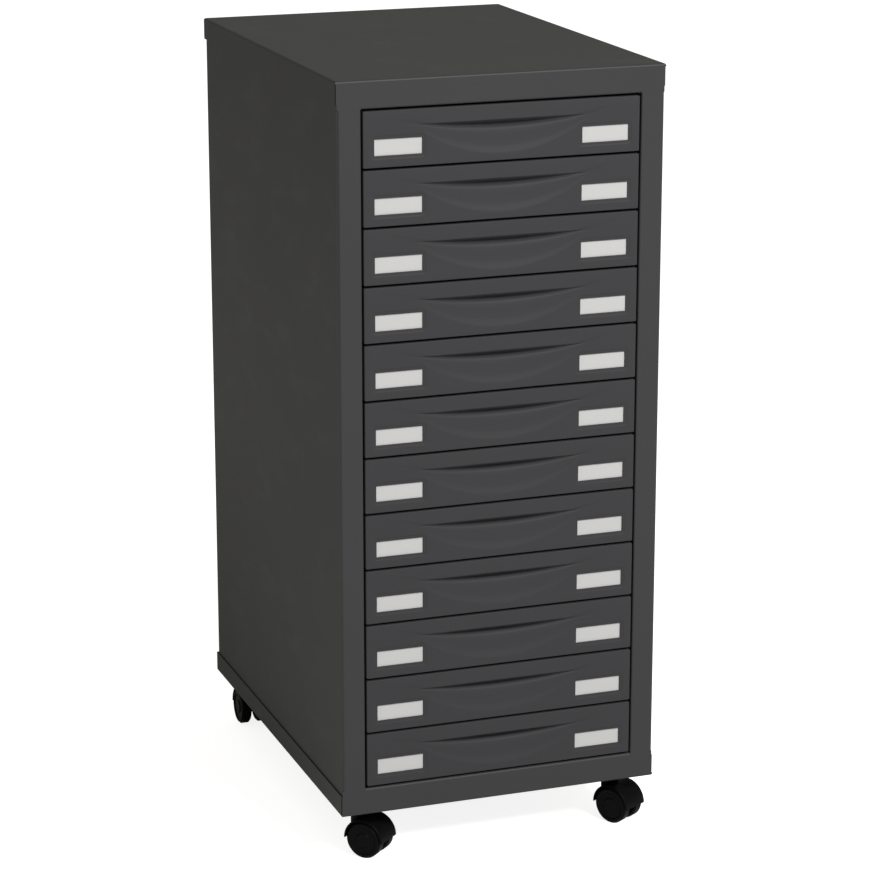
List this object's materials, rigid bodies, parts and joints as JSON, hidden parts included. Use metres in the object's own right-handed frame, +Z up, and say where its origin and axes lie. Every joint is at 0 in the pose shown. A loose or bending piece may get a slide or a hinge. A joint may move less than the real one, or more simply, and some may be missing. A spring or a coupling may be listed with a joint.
{
  "type": "mobile drawer cabinet",
  "caption": "Tall narrow steel drawer cabinet with a stack of flat drawers, finger pulls and label windows, on swivelling twin-wheel casters.",
  "frame": {"origin": "on the floor under the middle of the footprint", "axes": "+Z up, +X to the right of someone who faces the drawers, the drawers open towards -Y"},
  "size_m": [0.28, 0.38, 0.66],
  "materials": {
    "frame_paint": "satin powder coat, anthracite",
    "drawer_paint": "satin powder coat, anthracite",
    "runner_steel": "zinc plated",
    "label_card": "matt white card",
    "caster_plastic": "black nylon",
    "axle_steel": "plain steel"
  },
  "bodies": {
    "carcass": {"top_cap": "frame_paint", "base_cap": "frame_paint", "left_side_panel": "frame_paint", "right_side_panel": "frame_paint", "back_panel": "frame_paint", "left_runner_rack": "runner_steel", "right_runner_rack": "runner_steel", "caster_plates": "runner_steel"},
    "drawer_01": {"drawer_01_front": "drawer_paint", "drawer_01_tray": "drawer_paint", "drawer_01_labels": "label_card"},
    "drawer_02": {"drawer_02_front": "drawer_paint", "drawer_02_tray": "drawer_paint", "drawer_02_labels": "label_card"},
    "drawer_03": {"drawer_03_front": "drawer_paint", "drawer_03_tray": "drawer_paint", "drawer_03_labels": "label_card"},
    "drawer_04": {"drawer_04_front": "drawer_paint", "drawer_04_tray": "drawer_paint", "drawer_04_labels": "label_card"},
    "drawer_05": {"drawer_05_front": "drawer_paint", "drawer_05_tray": "drawer_paint", "drawer_05_labels": "label_card"},
    "drawer_06": {"drawer_06_front": "drawer_paint", "drawer_06_tray": "drawer_paint", "drawer_06_labels": "label_card"},
    "drawer_07": {"drawer_07_front": "drawer_paint", "drawer_07_tray": "drawer_paint", "drawer_07_labels": "label_card"},
    "drawer_08": {"drawer_08_front": "drawer_paint", "drawer_08_tray": "drawer_paint", "drawer_08_labels": "label_card"},
    "drawer_09": {"drawer_09_front": "drawer_paint", "drawer_09_tray": "drawer_paint", "drawer_09_labels": "label_card"},
    "drawer_10": {"drawer_10_front": "drawer_paint", "drawer_10_tray": "drawer_paint", "drawer_10_labels": "label_card"},
    "drawer_11": {"drawer_11_front": "drawer_paint", "drawer_11_tray": "drawer_paint", "drawer_11_labels": "label_card"},
    "drawer_12": {"drawer_12_front": "drawer_paint", "drawer_12_tray": "drawer_paint", "drawer_12_labels": "label_card"},
    "caster_front_left_swivel": {"caster_front_left_housing": "caster_plastic", "caster_front_left_axle": "axle_steel"},
    "caster_front_left_wheel_a": {"caster_front_left_wheel_a": "caster_plastic"},
    "caster_front_left_wheel_b": {"caster_front_left_wheel_b": "caster_plastic"},
    "caster_front_right_swivel": {"caster_front_right_housing": "caster_plastic", "caster_front_right_axle": "axle_steel"},
    "caster_front_right_wheel_a": {"caster_front_right_wheel_a": "caster_plastic"},
    "caster_front_right_wheel_b": {"caster_front_right_wheel_b": "caster_plastic"},
    "caster_back_left_swivel": {"caster_back_left_housing": "caster_plastic", "caster_back_left_axle": "axle_steel"},
    "caster_back_left_wheel_a": {"caster_back_left_wheel_a": "caster_plastic"},
    "caster_back_left_wheel_b": {"caster_back_left_wheel_b": "caster_plastic"},
    "caster_back_right_swivel": {"caster_back_right_housing": "caster_plastic", "caster_back_right_axle": "axle_steel"},
    "caster_back_right_wheel_a": {"caster_back_right_wheel_a": "caster_plastic"},
    "caster_back_right_wheel_b": {"caster_back_right_wheel_b": "caster_plastic"}
  },
  "joints": [
    {"name": "drawer_01_slide", "type": "slide", "parent": "carcass", "child": "drawer_01", "axis": [0, -1, 0], "range_m": [0, 0.27]},
    {"name": "drawer_02_slide", "type": "slide", "parent": "carcass", "child": "drawer_02", "axis": [0, -1, 0], "range_m": [0, 0.27]},
    {"name": "drawer_03_slide", "type": "slide", "parent": "carcass", "child": "drawer_03", "axis": [0, -1, 0], "range_m": [0, 0.27]},
    {"name": "drawer_04_slide", "type": "slide", "parent": "carcass", "child": "drawer_04", "axis": [0, -1, 0], "range_m": [0, 0.27]},
    {"name": "drawer_05_slide", "type": "slide", "parent": "carcass", "child": "drawer_05", "axis": [0, -1, 0], "range_m": [0, 0.27]},
    {"name": "drawer_06_slide", "type": "slide", "parent": "carcass", "child": "drawer_06", "axis": [0, -1, 0], "range_m": [0, 0.27]},
    {"name": "drawer_07_slide", "type": "slide", "parent": "carcass", "child": "drawer_07", "axis": [0, -1, 0], "range_m": [0, 0.27]},
    {"name": "drawer_08_slide", "type": "slide", "parent": "carcass", "child": "drawer_08", "axis": [0, -1, 0], "range_m": [0, 0.27]},
    {"name": "drawer_09_slide", "type": "slide", "parent": "carcass", "child": "drawer_09", "axis": [0, -1, 0], "range_m": [0, 0.27]},
    {"name": "drawer_10_slide", "type": "slide", "parent": "carcass", "child": "drawer_10", "axis": [0, -1, 0], "range_m": [0, 0.27]},
    {"name": "drawer_11_slide", "type": "slide", "parent": "carcass", "child": "drawer_11", "axis": [0, -1, 0], "range_m": [0, 0.27]},
    {"name": "drawer_12_slide", "type": "slide", "parent": "carcass", "child": "drawer_12", "axis": [0, -1, 0], "range_m": [0, 0.27]},
    {"name": "caster_front_left_swivel_turn", "type": "hinge", "parent": "carcass", "child": "caster_front_left_swivel", "pos_m": [-0.114, -0.158, 0.04], "axis": [0, 0, 1], "continuous": true},
    {"name": "caster_front_left_wheel_a_spin", "type": "hinge", "parent": "caster_front_left_swivel", "child": "caster_front_left_wheel_a", "pos_m": [-0.10731, -0.16543, 0.016], "axis": [0.7431, 0.6691, 0], "continuous": true},
    {"name": "caster_front_left_wheel_b_spin", "type": "hinge", "parent": "caster_front_left_swivel", "child": "caster_front_left_wheel_b", "pos_m": [-0.10731, -0.16543, 0.016], "axis": [0.7431, 0.6691, 0], "continuous": true},
    {"name": "caster_front_right_swivel_turn", "type": "hinge", "parent": "carcass", "child": "caster_front_right_swivel", "pos_m": [0.114, -0.158, 0.04], "axis": [0, 0, 1], "continuous": true},
    {"name": "caster_front_right_wheel_a_spin", "type": "hinge", "parent": "caster_front_right_swivel", "child": "caster_front_right_wheel_a", "pos_m": [0.119, -0.16666, 0.016], "axis": [0.866, 0.5, 0], "continuous": true},
    {"name": "caster_front_right_wheel_b_spin", "type": "hinge", "parent": "caster_front_right_swivel", "child": "caster_front_right_wheel_b", "pos_m": [0.119, -0.16666, 0.016], "axis": [0.866, 0.5, 0], "continuous": true},
    {"name": "caster_back_left_swivel_turn", "type": "hinge", "parent": "carcass", "child": "caster_back_left_swivel", "pos_m": [-0.114, 0.158, 0.04], "axis": [0, 0, 1], "continuous": true},
    {"name": "caster_back_left_wheel_a_spin", "type": "hinge", "parent": "caster_back_left_swivel", "child": "caster_back_left_wheel_a", "pos_m": [-0.114, 0.168, 0.016], "axis": [-1, 0, 0], "continuous": true},
    {"name": "caster_back_left_wheel_b_spin", "type": "hinge", "parent": "caster_back_left_swivel", "child": "caster_back_left_wheel_b", "pos_m": [-0.114, 0.168, 0.016], "axis": [-1, 0, 0], "continuous": true},
    {"name": "caster_back_right_swivel_turn", "type": "hinge", "parent": "carcass", "child": "caster_back_right_swivel", "pos_m": [0.114, 0.158, 0.04], "axis": [0, 0, 1], "continuous": true},
    {"name": "caster_back_right_wheel_a_spin", "type": "hinge", "parent": "caster_back_right_swivel", "child": "caster_back_right_wheel_a", "pos_m": [0.11226, 0.16785, 0.016], "axis": [-0.9848, -0.1736, 0], "continuous": true},
    {"name": "caster_back_right_wheel_b_spin", "type": "hinge", "parent": "caster_back_right_swivel", "child": "caster_back_right_wheel_b", "pos_m": [0.11226, 0.16785, 0.016], "axis": [-0.9848, -0.1736, 0], "continuous": true}
  ]
}
